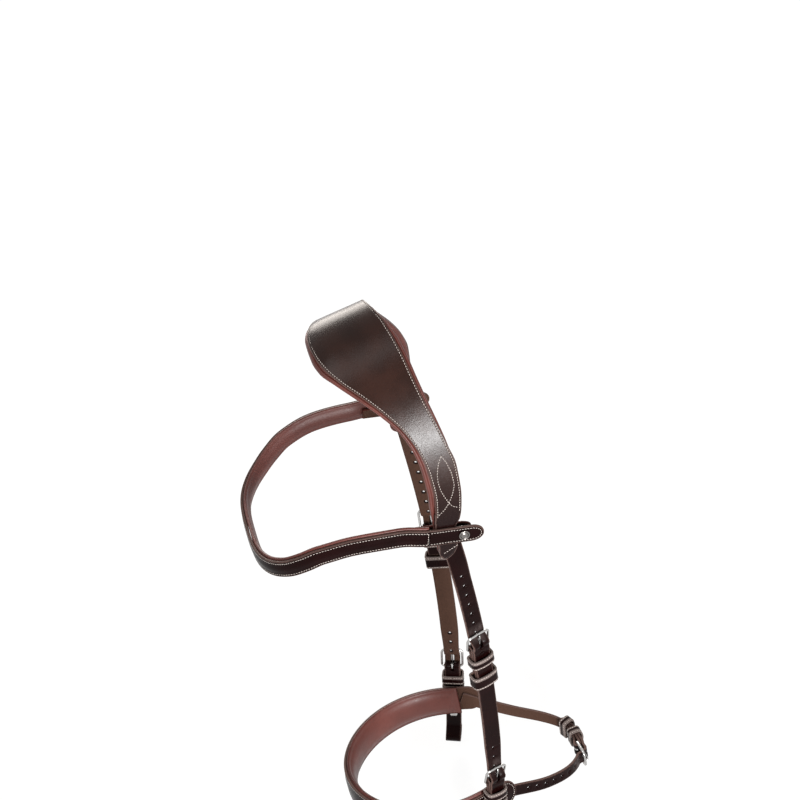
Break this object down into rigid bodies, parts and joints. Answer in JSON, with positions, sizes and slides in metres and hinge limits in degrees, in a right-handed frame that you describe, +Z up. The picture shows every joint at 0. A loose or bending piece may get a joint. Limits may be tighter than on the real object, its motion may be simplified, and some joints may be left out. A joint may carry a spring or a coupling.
{
  "type": "horse bridle",
  "caption": "Horse bridle: padded shaped crown, browband with snap tabs, buckled cheek straps, padded noseband with a jaw strap, and loops for the bit.",
  "frame": {"origin": "under the middle of the crown, where its lining rests on the poll", "axes": "+Z up the head towards the poll, -Y the way the horse faces, +X the horse's left cheek"},
  "size_m": [0.1916, 0.2502, 0.5771],
  "materials": {
    "crown_leather": "satin",
    "lining_leather": "soft matt",
    "strap_leather": "satin",
    "keeper_leather": "satin",
    "hardware": "polished"
  },
  "bodies": {
    "crown": {"bit_buckle_left": "hardware", "bit_buckle_right": "hardware", "bit_keeper_left": "keeper_leather", "bit_keeper_right": "keeper_leather", "bit_strap_left": "strap_leather", "bit_strap_right": "strap_leather", "bit_stud_left": "hardware", "bit_stud_right": "hardware", "browband_leather": "strap_leather", "browband_lining": "lining_leather", "browband_under_tab_left": "strap_leather", "browband_under_tab_right": "strap_leather", "cheek_buckle_left": "hardware", "cheek_buckle_right": "hardware", "cheek_keeper_left": "keeper_leather", "cheek_keeper_right": "keeper_leather", "cheek_strap_left": "strap_leather", "cheek_strap_right": "strap_leather", "crown_billet_left": "strap_leather", "crown_billet_right": "strap_leather", "crown_leather": "crown_leather", "crown_lining": "lining_leather", "jaw_buckle": "hardware", "jaw_buckle_strap": "strap_leather", "jaw_keeper": "keeper_leather", "jaw_strap": "strap_leather", "noseband_leather": "strap_leather", "noseband_lining": "lining_leather", "noseband_loop_left": "keeper_leather", "noseband_loop_right": "keeper_leather", "snap_stud_left": "hardware", "snap_stud_right": "hardware"},
    "tab_left": {"browband_tab_left": "strap_leather", "snap_cap_left": "hardware"},
    "cheek_tongue_left": {"cheek_tongue_left": "hardware"},
    "bit_tongue_left": {"bit_tongue_left": "hardware"},
    "cheek_runner_left": {"cheek_runner_left": "keeper_leather"},
    "tab_right": {"browband_tab_right": "strap_leather", "snap_cap_right": "hardware"},
    "cheek_tongue_right": {"cheek_tongue_right": "hardware"},
    "bit_tongue_right": {"bit_tongue_right": "hardware"},
    "cheek_runner_right": {"cheek_runner_right": "keeper_leather"},
    "jaw_tongue": {"jaw_tongue": "hardware"},
    "jaw_runner": {"jaw_runner": "keeper_leather"}
  },
  "joints": [
    {"name": "tab_hinge_left", "type": "hinge", "parent": "crown", "child": "tab_left", "pos_m": [0.09375, 0.02106, -0.1542], "axis": [0, -0.1961, -0.9806], "range_deg": [0, 110]},
    {"name": "cheek_tongue_hinge_left", "type": "hinge", "parent": "crown", "child": "cheek_tongue_left", "pos_m": [0.08047, 0.04192, -0.29793], "axis": [-0.3256, 0.9455, 0.0088], "range_deg": [0, 5]},
    {"name": "bit_tongue_hinge_left", "type": "hinge", "parent": "crown", "child": "bit_tongue_left", "pos_m": [0.07582, 0.0311, -0.46915], "axis": [-0.3235, 0.9395, -0.1131], "range_deg": [0, 5]},
    {"name": "cheek_runner_slide_left", "type": "slide", "parent": "crown", "child": "cheek_runner_left", "axis": [-0.0449, -0.0322, -0.9985], "range_m": [-0.01, 0.02]},
    {"name": "tab_hinge_right", "type": "hinge", "parent": "crown", "child": "tab_right", "pos_m": [-0.09375, 0.02106, -0.1542], "axis": [0, 0.1961, 0.9806], "range_deg": [0, 110]},
    {"name": "cheek_tongue_hinge_right", "type": "hinge", "parent": "crown", "child": "cheek_tongue_right", "pos_m": [-0.08047, 0.04192, -0.29793], "axis": [-0.3256, -0.9455, -0.0088], "range_deg": [0, 5]},
    {"name": "bit_tongue_hinge_right", "type": "hinge", "parent": "crown", "child": "bit_tongue_right", "pos_m": [-0.07582, 0.0311, -0.46915], "axis": [-0.3235, -0.9395, 0.1131], "range_deg": [0, 5]},
    {"name": "cheek_runner_slide_right", "type": "slide", "parent": "crown", "child": "cheek_runner_right", "axis": [0.0449, -0.0322, -0.9985], "range_m": [-0.01, 0.02]},
    {"name": "jaw_tongue_hinge", "type": "hinge", "parent": "crown", "child": "jaw_tongue", "pos_m": [0.00827, 0.12134, -0.53654], "axis": [-0.0459, 0.007, 0.9989], "range_deg": [0, 5]},
    {"name": "jaw_runner_slide", "type": "slide", "parent": "crown", "child": "jaw_runner", "axis": [-0.8881, -0.4508, 0.0897], "range_m": [0, 0.003]}
  ]
}
